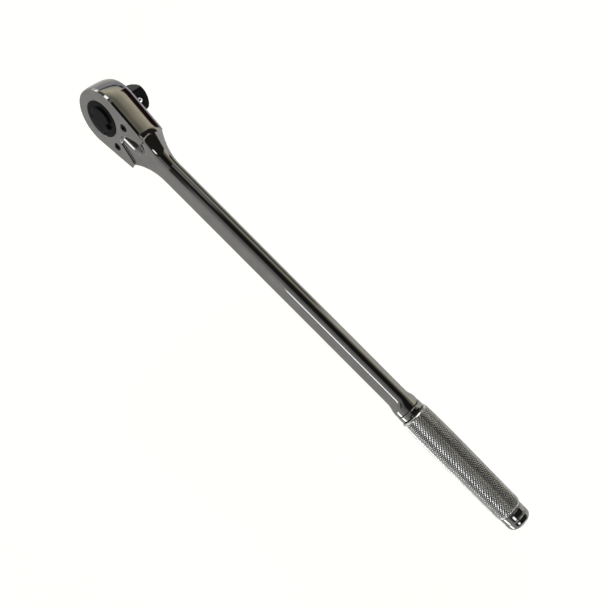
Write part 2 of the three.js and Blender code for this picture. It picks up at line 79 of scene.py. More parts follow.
# Pointed step in the face, where it drops to the neck. It is hollowed on both sides of
# a crest, deeper on the +Z side. The crest, rims and grooves are offsets along Y from
# the neck's flat, and a negative one stands above it.
STEP_TIP_X = 21.2
STEP_BLUNT = 3.0
STEP_TIP_HALF_WIDTH = 4.7
STEP_SLOPE = 0.5
CREST_OFFSET = -1.45
CREST_HALF_WIDTH = 0.3
CREST_FLANK_WIDTH = 1.7
CREST_SLOPE = math.tan(math.radians(16))
CREST_FADE = (36.0, 45.0)
GROOVE_START = (22.0, 26.5)
GROOVE_FADE = (39.5, 47.0)
GROOVE_WIDENING = 1.4
NEAR_SIDE = {"wall": 0.75, "rim": -1.15, "groove": 1.9, "fade": (HEAD_END_X - 4.0, HEAD_END_X)}
FAR_SIDE = {"wall": 0.8, "rim": -0.85, "groove": -0.5, "fade": (HEAD_END_X, HEAD_END_X + 9.0)}
WALL_STEPS = 10
TROUGH_STEPS = 34
TROUGH_CROWDING = 1.6

# Neck, shank and flare: flat front and back with elliptical sides.
NECK_END_X = 69.0
NECK_TAPER = 2.1
NECK = {"flat": 16.2, "side": 4.2, "front": -9.3, "rear": 11.3}
SHANK = {"flat": 5.5, "side": 5.75, "front": -6.75, "rear": 6.75}
ROUND_END = {"flat": 0.05, "side": 11.25, "front": -11.3, "rear": 11.3}
FLARE_START_X = 329.0
FLARE_END_X = 338.0
SHOULDER_X = 341.5
SPIGOT_RADIUS = 8.0
SPIGOT_END_X = 455.0
STUD_RADIUS = 5.0
STUD_START_X = 441.0
SIDE_STEPS = 30

# Bores in the head.
BORE_RADIUS = 16.0
BORE_FLOOR_Y = -6.0
COVER_SEAT_Y = 9.35
COVER_INSET = 6.8
COVER_END_X = 34.0
COVER_Y = (9.65, 11.4)
FIT = 0.3
RECESS_EDGE = 0.2
# Half the outline of the pawl's pocket, beside the bore.
POCKET = [(15.2, 13.6), (18.5, 10.3), (25.0, 8.6), (32.0, 7.0)]
PIVOT_X = 26.5
PIN_HOLE_RADIUS = 2.5
PIN_HOLE_FLOOR_Y = -7.6
DETENT_X = -11.0
DETENT_HOLE_RADIUS = 1.4
DETENT_HOLE_FLOOR_Y = -6.6

# Selector dial. The channel round its knob is given by three radii and a depth.
KNOB_RADIUS = 10.6
DIAL_RADIUS = 15.7
DIAL_RECESS_RADIUS = 15.95
DIAL_FLOOR_Y = -9.75
DIAL_BACK_Y = -10.05
DIAL_RIM_Y = -11.95
DIAL_TOP_Y = -13.9
DIAL_CHANNEL = (KNOB_RADIUS + 0.5, 12.3, 12.6, 0.25)
DIAL_EDGE = 0.5
DIAL_STEPS = 192
KNOB_FOOT = 0.4
KNOB_EDGE = 0.9
NOTCH_RADIUS = 2.6
NOTCH_CENTRE = 9.6
DIAL_SETTING = math.radians(15)
STEM_RADIUS = 5.1
SEAL_GROOVE = (6.3, 7.7, -8.85)
ARM_TOP_Y = -1.5
ARM_MIDDLE_Y = -4.2

# Gear and square drive.
TEETH = 24
TOOTH_TIP_RADIUS = 15.6
TOOTH_ROOT_RADIUS = 14.0
TOOTH_TIP_DEGREES = 1.5
TOOTH_ROOT_DEGREES = 6
TOOTH_DEGREES = (-6, -4.5, -3, -1.5, 0, 1.5, 3, 4.5, 6, 6.75)
GEAR_Y = (-2.3, 6.2)
HUB_RADIUS = 14.3
HUB_END_Y = 11.75
SQUARE_HALF = 9.525
SQUARE_CORNER_RADIUS = 12.9
SQUARE_END_Y = 32.0
SQUARE_ROUND_LENGTH = 5.0
SQUARE_ROUND_DEPTH = 5.5
BALL_RADIUS = 2.75
BALL_Y = 23.5
BALL_OUT = 7.9
BALL_HOLE_FLOOR = 1.6
CLIP_ROOM_RADIUS = 7.2
CLIP_ROOM_FLOOR_Y = -0.8

# Coil springs: radius of the coil and the wire, number of turns and how far they shorten.
DRIVE_SPRING = {"coil": 2.1, "wire": 0.3, "turns": 3, "travel": 1.1}
DRIVE_SPRING_REACH = (1.8, 5.05)
DIAL_SPRING = {"coil": 0.95, "wire": 0.14, "turns": 2, "travel": 0.5}
DIAL_SPRING_Y = (-6.7, -8.1)
PLUNGER_SPRING = {"coil": 0.62, "wire": 0.13, "turns": 6, "travel": 0.6}
PLUNGER_SPRING_REACH = (8.85, 12.8)
SPRING_STEPS = 24
WIRE_SIDES = 12

# Screws that hold the cover.
SCREW_X = 21.0
SCREW_Z = 13.2
SCREW_SIDES = (SCREW_Z, -SCREW_Z)
SCREW_HEAD_RADIUS = 3.2
SCREW_SHANK_RADIUS = 1.9
SCREW_HOLE_RADIUS = SCREW_SHANK_RADIUS + 0.2
COUNTERBORE_RADIUS = SCREW_HEAD_RADIUS + 0.2
COUNTERBORE_MOUTH = SCREW_HEAD_RADIUS + 0.35
SCREW_EDGE = 0.6
SOCKET_RADIUS = 1.6

# Grip end.
COLLAR_X = (342.0, 347.6)
COLLAR_RADIUS = 11.5
GRIP_PROFILE = [(348.0, 11.9), (349.0, 12.7), (364.0, 13.05), (384.0, 13.2),
                (411.0, 12.95), (437.5, 12.65), (459.5, 12.45), (460.5, 11.7)]
KNURL_COLUMNS = 38
KNURL_ROWS = 72
KNURL_DEPTH = 0.38
KNURL_FLAT = 0.24
CAP_X = (461.0, 475.0)
CAP_RADIUS = 11.3
CAP_GROOVE_X = 467.5
CAP_ROUND = 4.0

# ------------------------------------------------------------------- helpers


def lerp(a, b, share):
    return a + (b - a) * share


def smoothstep(share):
    share = min(1.0, max(0.0, share))
    return share * share * (3 - 2 * share)


def fade_in(value, limits):
    """Rise smoothly from 0 at the first limit to 1 at the second."""
    start, end = limits
    return smoothstep((value - start) / (end - start))


def full_turn(steps):
    return [2 * math.pi * i / steps for i in range(steps)]


def quarter_turn(steps):
    return [math.pi / 2 * i / steps for i in range(steps + 1)]


def circle(radius, x=0.0, z=0.0, steps=72):
    """Plan points of a circle."""
    return [(x + radius * math.cos(a), z + radius * math.sin(a)) for a in full_turn(steps)]


def at_height(plan, y):
    return [(x, y, z) for x, z in plan]


def along_x(x, radius, steps=120):
    """A ring about the X axis."""
    return [(x, -radius * math.cos(a), radius * math.sin(a)) for a in full_turn(steps)]


def turned_rows(profile, x=0.0, z=0.0, steps=72):
    """Rings about an axis along Y, from pairs of radius and height."""
    return [at_height(circle(radius, x, z, steps), y) for radius, y in profile]


class Surface:
    """Collects the faces of closed shapes, in millimetres about the pivot."""

    def __init__(self):
        self.mesh = bmesh.new()
        self.patch_tag = self.mesh.faces.layers.int.new("patch")
        self.patches = 0

    def skin(self, rows, closed=True):
        """Join rows of points; each row closes on itself unless closed is False."""
        made = [[self.mesh.verts.new(point) for point in row] for row in rows]
        for low, high in zip(made, made[1:]):
            count = len(low)
            for i in range(count if closed else count - 1):
                j = (i + 1) % count
                self.mesh.faces.new((low[i], low[j], high[j], high[i]))

    def patch(self, *loops):
        """Fill a flat outline; the loops after the first are its holes."""
        triangles = tessellate_polygon([[Vector(point) for point in loop] for loop in loops])
        verts = [self.mesh.verts.new(point) for loop in loops for point in loop]
        self.patches += 1
        for triangle in triangles:
            face = self.mesh.faces.new([verts[i] for i in triangle])
            face[self.patch_tag] = self.patches

    def capped_skin(self, rows):
        """Join rows of points and close the first and last row."""
        self.skin(rows)
        self.patch(rows[0])
        self.patch(rows[-1])

    def shaft(self, plan, start, end):
        """A straight wall between two heights."""
        self.skin([at_height(plan, start), at_height(plan, end)])

    def level(self, y, *plans):
        """A flat face at a height; the plans after the first are its holes."""
        self.patch(*[at_height(plan, y) for plan in plans])

    def fan(self, row, centre):
        """Close a ring with triangles to one point."""
        hub = self.mesh.verts.new(centre)
        ring = [self.mesh.verts.new(point) for point in row]
        for i, vert in enumerate(ring):
            self.mesh.faces.new((vert, ring[(i + 1) % len(ring)], hub))

    def weld(self):
        """Join the faces and turn them outward."""
        bmesh.ops.remove_doubles(self.mesh, verts=self.mesh.verts, dist=0.0015)
        bmesh.ops.recalc_face_normals(self.mesh, faces=self.mesh.faces)

    def place(self, name):
        """Move the mesh into the frame, in metres, and make an object of it."""
        place = Matrix.Scale(0.001, 4) @ Matrix.Translation((0, PIVOT_Y, 0))
        bmesh.ops.transform(self.mesh, matrix=place, verts=self.mesh.verts)
        data = bpy.data.meshes.new(name)
        self.mesh.to_mesh(data)
        self.mesh.free()
        made = bpy.data.objects.new(name, data)
        bpy.context.scene.collection.objects.link(made)
        return made

    def finish(self, node, ending, body, material, sharp=35.0):
        """Weld and shade the faces and make the piece, which takes a CAD node's place."""
        self.weld()
        mesh = self.mesh
        tag = mesh.faces.layers.int["patch"]
        for edge in mesh.edges:
            tags = {face[tag] for face in edge.link_faces}
            bend = edge.calc_face_angle(0.0)
            crosses = len(tags) > 1 and bend > math.radians(2)
            edge.smooth = not (crosses or bend > math.radians(sharp))
        for face in mesh.faces:
            face.smooth = True
        piece = self.place(f"{node}_{ending}")
        piece.data.materials.append(material)
        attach(piece, body)
        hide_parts(node)
        return piece


def rounded(profile, radius, steps=4):
    """Round the corners of an open profile of two-number points."""
    made = [profile[0]]
    for before, corner, after in zip(profile, profile[1:], profile[2:]):
        corner, before, after = Vector(corner), Vector(before), Vector(after)
        reach = min(radius, (before - corner).length * 0.45, (after - corner).length * 0.45)
        start = corner + (before - corner).normalized() * reach
        end = corner + (after - corner).normalized() * reach
        for i in range(steps + 1):
            share = i / steps
            point = start.lerp(corner, share).lerp(corner.lerp(end, share), share)
            made.append((point.x, point.y))
    made.append(profile[-1])
    return made


# ----------------------------------------------------------------- materials


def set_inputs(node, values):
    for name, value in values.items():
        node.inputs[name].default_value = value


def value_noise(tree, scale, detail, coordinate):
    """A noise texture in metres."""
    noise = tree.nodes.new("ShaderNodeTexNoise")
    set_inputs(noise, {"Scale": scale, "Detail": detail})
    tree.links.new(coordinate, noise.inputs["Vector"])
    return noise.outputs["Fac"]


def spread(tree, source, low, high, start=0.3, end=0.7):
    """Map a 0 to 1 value onto a range."""
    node = tree.nodes.new("ShaderNodeMapRange")
    set_inputs(node, {"From Min": start, "From Max": end, "To Min": low, "To Max": high})
    tree.links.new(source, node.inputs["Value"])
    return node.outputs["Result"]


def shaded(tree, source, dark, light):
    """A colour between two, chosen by a 0 to 1 value."""
    ramp = tree.nodes.new("ShaderNodeValToRGB")
    ramp.color_ramp.elements[0].position = 0.3
    ramp.color_ramp.elements[0].color = (*dark, 1)
    ramp.color_ramp.elements[1].position = 0.7
    ramp.color_ramp.elements[1].color = (*light, 1)
    tree.links.new(source, ramp.inputs["Fac"])
    return ramp.outputs["Color"]


def finish_material(name, dark, light, metallic, rough, grain, bump, gloss=0.5):
    """A metal or moulded finish with varied colour, varied gloss and fine relief."""
    material = bpy.data.materials.new(name)
    material.use_nodes = True
    tree = material.node_tree
    shader = tree.nodes["Principled BSDF"]
    set_inputs(shader, {"Metallic": metallic, "Specular IOR Level": gloss})
    coordinate = tree.nodes.new("ShaderNodeTexCoord").outputs["Object"]
    cloud = value_noise(tree, 90, 3, coordinate)
    fine = value_noise(tree, grain, 4, coordinate)
    tree.links.new(shaded(tree, cloud, dark, light), shader.inputs["Base Color"])
    tree.links.new(spread(tree, fine, *rough), shader.inputs["Roughness"])
    relief = tree.nodes.new("ShaderNodeBump")
    set_inputs(relief, {"Strength": bump, "Distance": 0.0001})
    tree.links.new(fine, relief.inputs["Height"])
    tree.links.new(relief.outputs["Normal"], shader.inputs["Normal"])
    return material


def paint_knurl_shade_and_highlight(material):
    """Painted shade in the knurl's grooves and a painted highlight on its diamonds: the base colour is
    multiplied down where the crest mask is low and up where it is high.
    """
    tree = material.node_tree
    shader = tree.nodes["Principled BSDF"]
    plain = shader.inputs["Base Color"].links[0].from_socket
    crest = tree.nodes.new("ShaderNodeAttribute")
    crest.attribute_name = "crest"
    tint = tree.nodes.new("ShaderNodeMixRGB")
    tint.blend_type = "MULTIPLY"
    tint.inputs["Fac"].default_value = 1.0
    tree.links.new(plain, tint.inputs["Color1"])
    tree.links.new(spread(tree, crest.outputs["Fac"], 0.5, 1.2, 0.1, 0.9), tint.inputs["Color2"])
    tree.links.new(tint.outputs["Color"], shader.inputs["Base Color"])


CHROME = finish_material(
    "polished_chrome", (0.142, 0.142, 0.147), (0.168, 0.167, 0.164), 1.0, (0.03, 0.09), 900, 0.012)
KNURL = finish_material(
    "knurled_chrome", (0.27, 0.275, 0.275), (0.36, 0.365, 0.36), 1.0, (0.15, 0.28), 2600, 0.08)
# The knurl's colour carries painted shade in the grooves and a painted highlight on the diamonds.
paint_knurl_shade_and_highlight(KNURL)
BLACK = finish_material(
    "black_finish", (0.0012, 0.0015, 0.002), (0.004, 0.0045, 0.0055), 0.0, (0.24, 0.4), 2200, 0.2, 0.035)
BRIGHT = finish_material(
    "bright_steel", (0.42, 0.42, 0.43), (0.56, 0.56, 0.56), 1.0, (0.12, 0.26), 1500, 0.05)
SPRING = finish_material(
    "spring_steel", (0.20, 0.19, 0.17), (0.33, 0.31, 0.29), 1.0, (0.24, 0.42), 1800, 0.1)
BRONZE = finish_material(
    "bronze", (0.38, 0.22, 0.10), (0.52, 0.32, 0.16), 1.0, (0.24, 0.44), 1300, 0.1)
RUBBER = finish_material(
    "seal_rubber", (0.010, 0.010, 0.010), (0.022, 0.022, 0.022), 0.0, (0.6, 0.85), 2500, 0.3)

# ------------------------------------------------------------------ the head


def side_angle():
    """Angle from +X at which the straight sides leave the nose."""
    corner_x = HEAD_END_X - HEAD_CENTRE_X
    corner_reach = math.hypot(corner_x, HEAD_END_HALF_WIDTH)
    return math.atan2(HEAD_END_HALF_WIDTH, corner_x) + math.acos(HEAD_RADIUS / corner_reach)


SIDE_ANGLE = side_angle()


def head_outline(inset, end_x=HEAD_END_X, ease=0.0):
    """Plan of the head from its +Z corner round the nose; ease draws in the handle end."""
    radius = HEAD_RADIUS - inset
    end_z = (radius - (end_x - HEAD_CENTRE_X) * math.cos(SIDE_ANGLE)) / math.sin(SIDE_ANGLE)
    start = (HEAD_CENTRE_X + radius * math.cos(SIDE_ANGLE), radius * math.sin(SIDE_ANGLE))
    side = []
    for i in range(HEAD_SIDE_STEPS):
        x = lerp(end_x, start[0], i / HEAD_SIDE_STEPS)
        past = max(0.0, x - SIDE_EASE_X)
        drawn_in = ease * (SIDE_EASE_RADIUS - math.sqrt(SIDE_EASE_RADIUS ** 2 - past ** 2))
        side.append((x, lerp(end_z, start[1], i / HEAD_SIDE_STEPS) - drawn_in))
    nose = []
    for i in range(HEAD_ARC_STEPS + 1):
        angle = lerp(SIDE_ANGLE, 2 * math.pi - SIDE_ANGLE, i / HEAD_ARC_STEPS)
        nose.append((HEAD_CENTRE_X + radius * math.cos(angle), radius * math.sin(angle)))
    return side + nose + [(x, -z) for x, z in reversed(side)]


def spline(points, steps):
    """Points of a smooth curve through a list of points."""
    padded = [points[0], *points, points[-1]]
    made = []
    for i in range(1, len(padded) - 2):
        before, start, end, after = (Vector(padded[k]) for k in (i - 1, i, i + 1, i + 2))
        for j in range(steps):
            t = j / steps
            slope = end - before
            bend = 2 * before - 5 * start + 4 * end - after
            twist = 3 * start - before - 3 * end + after
            point = 0.5 * (2 * start + slope * t + bend * t * t + twist * t ** 3)
            made.append((point.x, point.y))
    made.append(points[-1])
    return made


def head_levels():
    """Height, inset and share drawn in at the handle end, for the rings down the head's side."""
    levels = []
    for angle in quarter_turn(5):
        y = FACE_Y + FACE_EDGE * (1 - math.cos(angle))
        levels.append((y, FACE_INSET - FACE_EDGE * math.sin(angle), 0.0))
    draft_start = FACE_Y + FACE_EDGE
    for i in range(1, 9):
        share = i / 8
        inset = lerp(SIDE_PROFILE[0][1], FACE_INSET - FACE_EDGE, (1 - share) ** DRAFT_CURVE)
        levels.append((lerp(draft_start, DRAFT_END_Y, share), inset, smoothstep(share)))
    for y, inset in spline(SIDE_PROFILE, 5)[1:]:
        levels.append((y, max(0.0, inset), 1 - SIDE_EASE_LOSS * fade_in(y, SIDE_EASE_FADE)))
    return levels


def step_half_width(x):
    return STEP_TIP_HALF_WIDTH + STEP_SLOPE * (x - STEP_TIP_X)


def step_rows():
    """Position along the handle and half width of the step, from its blunt tip."""
    rows = []
    for angle in quarter_turn(12):
        x = STEP_TIP_X + STEP_BLUNT * (1 - math.cos(angle))
        rows.append((x, step_half_width(x) * math.sin(angle)))
    start = rows[-1][0]
    for i in range(1, 33):
        x = lerp(start, HEAD_END_X, i / 32)
        rows.append((x, step_half_width(x)))
    return rows


def hollow(x, z):
    """Height of the forged hollow against the neck's flat: a crest between two grooves."""
    side = NEAR_SIDE if z > 0 else FAR_SIDE
    away = abs(z)
    crest = CREST_OFFSET * (1 - fade_in(x, CREST_FADE))
    rim = side["rim"] * (1 - fade_in(x, side["fade"]))
    groove = lerp(CREST_OFFSET, side["groove"], fade_in(x, GROOVE_START))
    groove *= 1 - fade_in(x, GROOVE_FADE)
    depth = max(0.0, groove - crest)
    foot = CREST_FLANK_WIDTH + GROOVE_WIDENING * depth
    if away < foot:
        flank = min(CREST_FLANK_WIDTH, max(0.0, away - CREST_HALF_WIDTH))
        top = crest + CREST_SLOPE * flank * min(1.0, depth)
        return lerp(top, crest + depth, fade_in(away, (CREST_FLANK_WIDTH - 0.1, foot)))
    room = max(0.5, step_half_width(x) - side["wall"] - foot)
    return lerp(crest + depth, rim, min(1.0, (away - foot) / room))


def step_height(x, z, share):
    """Height of the step at a share of the way from its outline to the foot of its wall."""
    floor = NECK["front"] + hollow(x, z)
    return lerp(FACE_Y, floor, smoothstep(share))


def distance_to(polyline, x, z):
    """Shortest distance from a point to a line through a list of points."""
    best = 1e9
    for (ax, az), (bx, bz) in zip(polyline, polyline[1:]):
        dx, dz = bx - ax, bz - az
        share = ((x - ax) * dx + (z - az) * dz) / (dx * dx + dz * dz)
        share = min(1.0, max(0.0, share))
        best = min(best, math.hypot(x - ax - share * dx, z - az - share * dz))
    return best


def step_side(x, half, sign, width, outline):
    """A row of the step's points from one edge to the middle."""
    reach = min(half * 0.5, width * math.hypot(1, STEP_SLOPE))
    spots = [half - reach * i / WALL_STEPS for i in range(1, WALL_STEPS)]
    shares = [1 - i / TROUGH_STEPS for i in range(TROUGH_STEPS + 1)]
    spots += [(half - reach) * share ** TROUGH_CROWDING for share in shares]
    row = [(x, FACE_Y, sign * half)]
    for z in spots:
        away = distance_to(outline, x, z) if x > STEP_TIP_X else 0.0
        row.append((x, step_height(x, sign * z, away / width), sign * z))
    return row


def step_grid():
    """Rows of the step's surface, each from the +Z edge to the -Z edge."""
    rows = step_rows()
    far_x = HEAD_END_X + 20
    outline = rows + [(far_x, step_half_width(far_x))]
    grid = []
    for x, half in rows:
        upper = step_side(x, half, 1, NEAR_SIDE["wall"], outline)
        lower = step_side(x, half, -1, FAR_SIDE["wall"], outline)
        grid.append(upper + lower[-2::-1])
    return grid


# The neck's front takes its points from the last row of the step, between its walls.
STEP_SURFACE = step_grid()
STEP_END = STEP_SURFACE[-1]
STEP_FLOOR_END = STEP_END[WALL_STEPS:len(STEP_END) - WALL_STEPS]
FRONT_SHARES = [1.0] + [z / NECK["flat"] for x, y, z in STEP_FLOOR_END] + [-1.0]
REAR_SHARES = [1 - 2 * i / 8 for i in range(9)]
SPIGOT_RING = {"flat": 0.05, "side": SPIGOT_RADIUS - 0.05,
               "front": -SPIGOT_RADIUS, "rear": SPIGOT_RADIUS}
STUD_BORE_RING = {"flat": 0.05, "side": STUD_RADIUS + 0.25,
                  "front": -STUD_RADIUS - FIT, "rear": STUD_RADIUS + FIT}


def bar_ring(x, flat, side, front, rear):
    """A cross section of the neck or shank, from the +Z end of its front flat."""
    middle = (front + rear) / 2
    half = (rear - front) / 2
    turns = [math.pi * i / SIDE_STEPS for i in range(1, SIDE_STEPS)]
    ring = [(x, front + hollow(x, share * flat), share * flat) for share in FRONT_SHARES]
    ring += [(x, middle - half * math.cos(a), -flat - side * math.sin(a)) for a in turns]
    ring += [(x, rear, -share * flat) for share in REAR_SHARES]
    ring += [(x, middle + half * math.cos(a), flat + side * math.sin(a)) for a in turns]
    return ring


def mixed(start, end, share):
    """The dimensions of a cross section between two others."""
    return {key: lerp(start[key], end[key], share) for key in start}


def bar_rows():
    """Cross sections from the head's end to the bore in the spigot."""
    rows = []
    for i in range(41):
        share = i / 40
        x = lerp(HEAD_END_X, NECK_END_X, share)
        rows.append(bar_ring(x, **mixed(SHANK, NECK, (1 - share) ** NECK_TAPER)))
    for i in range(1, 20):
        rows.append(bar_ring(lerp(NECK_END_X, FLARE_START_X, i / 20), **SHANK))
    for i in range(25):
        share = i / 24
        section = mixed(SHANK, ROUND_END, smoothstep(share))
        rows.append(bar_ring(lerp(FLARE_START_X, FLARE_END_X, share), **section))
    rows.append(bar_ring(SHOULDER_X - 0.3, **ROUND_END))
    worn = dict(ROUND_END, side=ROUND_END["side"] - 0.3, front=-11.0, rear=11.0)
    rows.append(bar_ring(SHOULDER_X, **worn))
    rows.append(bar_ring(SHOULDER_X, **SPIGOT_RING))
    rows.append(bar_ring(SPIGOT_END_X, **SPIGOT_RING))
    rows.append(bar_ring(SPIGOT_END_X, **STUD_BORE_RING))
    rows.append(bar_ring(STUD_START_X - 1, **STUD_BORE_RING))
    return rows


def end_wall():
    """Outline of the flat wall around the neck, at the handle end of the head."""
    levels = head_levels()
    corners = [(HEAD_END_X, y, head_outline(inset, ease=ease)[0][1]) for y, inset, ease in levels]
    upper_wall = list(reversed(STEP_END[:WALL_STEPS + 1]))
    lower_wall = list(reversed(STEP_END[-WALL_STEPS - 1:]))
    ring = bar_ring(HEAD_END_X, **NECK)
    neck = ring[len(FRONT_SHARES) - 1:] + ring[:1]
    return upper_wall + corners + [(x, y, -z) for x, y, z in reversed(corners)] + lower_wall + neck


def bore_outline():
    """Plan of the gear's bore joined to the pawl's pocket."""
    top = math.asin(POCKET[0][1] / BORE_RADIUS)
    arc = []
    for i in range(97):
        angle = lerp(top, 2 * math.pi - top, i / 96)
        arc.append((BORE_RADIUS * math.cos(angle), BORE_RADIUS * math.sin(angle)))
    return arc + [(x, -z) for x, z in POCKET] + list(reversed(POCKET))


def ratchet_body():
    """The forging: head, neck, shank, flare and the spigot under the grip."""
    surface = Surface()
    sides = [at_height(head_outline(inset, ease=ease), y) for y, inset, ease in head_levels()]
    surface.skin(sides, closed=False)
    surface.skin(STEP_SURFACE, closed=False)
    surface.skin(bar_rows())
    surface.patch(bar_ring(STUD_START_X - 1, **STUD_BORE_RING))
    surface.patch(end_wall())

    # The face, with the dial's recess and the two counterbores.
    rim_upper = [row[0] for row in STEP_SURFACE]
    rim_lower = [row[-1] for row in STEP_SURFACE]
    face = at_height(head_outline(FACE_INSET), FACE_Y) + rim_lower[::-1] + rim_upper[1:]
    holes = [circle(DIAL_RECESS_RADIUS + RECESS_EDGE, steps=120)]
    holes += [circle(COUNTERBORE_MOUTH, SCREW_X, z, 40) for z in SCREW_SIDES]
    surface.patch(face, *[at_height(hole, FACE_Y) for hole in holes])

    # The dial's recess down to the bore's floor.
    recess = [(DIAL_RECESS_RADIUS + RECESS_EDGE, FACE_Y), (DIAL_RECESS_RADIUS + 0.06, FACE_Y + 0.06),
              (DIAL_RECESS_RADIUS, FACE_Y + RECESS_EDGE), (DIAL_RECESS_RADIUS, DIAL_FLOOR_Y)]
    surface.skin(turned_rows(recess, steps=120))
    groove_in, groove_out, groove_y = SEAL_GROOVE
    stem = STEM_RADIUS + FIT
    surface.skin(turned_rows([
        (groove_out, DIAL_FLOOR_Y), (groove_out, groove_y), (groove_in, groove_y),
        (groove_in, DIAL_FLOOR_Y), (stem, DIAL_FLOOR_Y), (stem, BORE_FLOOR_Y)]))
    detent = circle(DETENT_HOLE_RADIUS, DETENT_X, 0, 24)
    surface.level(DIAL_FLOOR_Y, circle(DIAL_RECESS_RADIUS, steps=120), circle(groove_out), detent)
    surface.shaft(detent, DIAL_FLOOR_Y, DETENT_HOLE_FLOOR_Y)
    surface.level(DETENT_HOLE_FLOOR_Y, detent)

    # Counterbores and screw holes through to the cover's seat.
    counterbore = [(COUNTERBORE_MOUTH, FACE_Y), (COUNTERBORE_RADIUS, FACE_Y + 0.15),
                   (COUNTERBORE_RADIUS, FACE_Y + 3), (SCREW_HOLE_RADIUS, FACE_Y + 3),
                   (SCREW_HOLE_RADIUS, COVER_SEAT_Y)]
    for z in SCREW_SIDES:
        surface.skin(turned_rows(counterbore, SCREW_X, z, 40))

    # Gear bore with the pawl's pocket, and the pin's blind hole in its floor.
    bore = bore_outline()
    pin = circle(PIN_HOLE_RADIUS, PIVOT_X, 0, 32)
    surface.level(BORE_FLOOR_Y, bore, circle(stem), pin)
    surface.shaft(pin, BORE_FLOOR_Y, PIN_HOLE_FLOOR_Y)
    surface.level(PIN_HOLE_FLOOR_Y, pin)
    surface.shaft(bore, BORE_FLOOR_Y, COVER_SEAT_Y)

    # The cover's seat and the rear rim around it.
    seat = head_outline(COVER_INSET - FIT, COVER_END_X + FIT)
    screw_holes = [circle(SCREW_HOLE_RADIUS, SCREW_X, z, 40) for z in SCREW_SIDES]
    surface.level(COVER_SEAT_Y, seat, bore, *screw_holes)
    surface.shaft(seat, COVER_SEAT_Y, REAR_Y)
    surface.patch(sides[-1], at_height(seat, REAR_Y))
    surface.finish("ratchet_body", "forged", "handle", CHROME)


def cover_plate():
    """The plate behind the gear, with the hub's hole and two screw holes."""
    surface = Surface()
    low, high = COVER_Y
    edge = 0.3
    outline = [(COVER_INSET, low), (COVER_INSET, high - edge), (COVER_INSET + 0.09, high - 0.09),
               (COVER_INSET + edge, high)]
    rows = []
    for inset, y in outline:
        rows.append(at_height(head_outline(inset, COVER_END_X - (inset - COVER_INSET)), y))
    surface.skin(rows)
    hub = HUB_RADIUS + FIT
    hub_hole = [(hub, low), (hub, high - 0.2), (hub + 0.06, high - 0.06), (hub + 0.2, high)]
    surface.skin(turned_rows(hub_hole, steps=120))
    holes = [circle(SCREW_SHANK_RADIUS + 0.15, SCREW_X, z, 40) for z in SCREW_SIDES]
    for hole in holes:
        surface.shaft(hole, low, high)
    for row, y, radius in ((rows[0], low, hub), (rows[-1], high, hub + 0.2)):
        surface.patch(row, *[at_height(plan, y) for plan in (circle(radius, steps=120), *holes)])
    surface.finish("cover_plate", "finished", "handle", CHROME)


# ------------------------------------------------------ gear and square drive


def gear_radius(angle):
    """Radius of the toothed outline at an angle."""
    pitch = 2 * math.pi / TEETH
    away = abs((angle + pitch / 2) % pitch - pitch / 2)
    tip, root = math.radians(TOOTH_TIP_DEGREES), math.radians(TOOTH_ROOT_DEGREES)
    if away <= tip:
        return TOOTH_TIP_RADIUS
    if away >= root:
        return TOOTH_ROOT_RADIUS
    return lerp(TOOTH_TIP_RADIUS, TOOTH_ROOT_RADIUS, (away - tip) / (root - tip))


def square_radius(angle, limit):
    """Radius of the square at an angle, with its corners cut to a limit and eased."""
    quarter = math.pi / 2
    away = abs((angle - math.pi / 4 + quarter / 2) % quarter - quarter / 2)
    flat = SQUARE_HALF / math.cos(away)
    ease = 0.25
    gap = limit - flat
    if gap > ease:
        return flat
    if gap < -ease:
        return limit
    if gap < 0:
        return flat + gap * ((ease - gap) / (2 * ease)) ** 2
    return flat - ease / 4 * (1 - gap / ease) ** 2


def drive_gear():
    """The toothed gear, its hub and the square drive in one piece."""
    surface = Surface()
    angles = []
    pitch = 2 * math.pi / TEETH
    for tooth in range(TEETH):
        angles += [tooth * pitch + math.radians(degrees) for degrees in TOOTH_DEGREES]
        angles.append((tooth + 0.5) * pitch)

    def ring(radius_at, y):
        return [(radius_at(a) * math.cos(a), y, radius_at(a) * math.sin(a)) for a in angles]

    def even(radius):
        return lambda angle: radius

    def square(growth):
        return lambda angle: square_radius(angle, SQUARE_CORNER_RADIUS) + growth

    rows = [
        ring(even(CLIP_ROOM_RADIUS), CLIP_ROOM_FLOOR_Y),
        ring(even(CLIP_ROOM_RADIUS), GEAR_Y[0]),
        ring(lambda a: gear_radius(a) - 0.25, GEAR_Y[0]),
        ring(gear_radius, GEAR_Y[0] + 0.25),
        ring(gear_radius, GEAR_Y[1] - 0.1),
        ring(lambda a: min(gear_radius(a), HUB_RADIUS) - 0.02, GEAR_Y[1]),
    ]
    hub = [(HUB_RADIUS - 0.04, GEAR_Y[1] + 0.1), (HUB_RADIUS, GEAR_Y[1] + 0.3),
           (HUB_RADIUS, HUB_END_Y - 0.3), (HUB_RADIUS - 0.09, HUB_END_Y - 0.09),
           (HUB_RADIUS - 0.3, HUB_END_Y)]
    rows += [ring(even(radius), y) for radius, y in hub]
    for growth, y in ((0.35, HUB_END_Y), (0.1, HUB_END_Y + 0.1), (0, HUB_END_Y + 0.35)):
        rows.append(ring(square(growth), y))
    round_start = SQUARE_END_Y - SQUARE_ROUND_LENGTH
    for y in (16.0, 20.0, 24.0, round_start):
        rows.append(ring(square(0), y))
    for angle in quarter_turn(12)[1:]:
        limit = SQUARE_CORNER_RADIUS - SQUARE_ROUND_DEPTH * (1 - math.cos(angle))
        y = round_start + SQUARE_ROUND_LENGTH * math.sin(angle)
        rows.append(ring(lambda a, r=limit: square_radius(a, r), y))
    surface.capped_skin(rows)
    return surface.finish("drive_gear", "finished", "gear", BLACK)


def towards_detent(x, y, across):
    """A point x out along the detent's axis and across it, about the drive axis."""
    share = math.sqrt(0.5)
    return ((x - across) * share, y, (x + across) * share)


def at_dial_setting(x, y):
    """A point x out along the shift arm."""
    return (x * math.cos(DIAL_SETTING), y, x * math.sin(DIAL_SETTING))


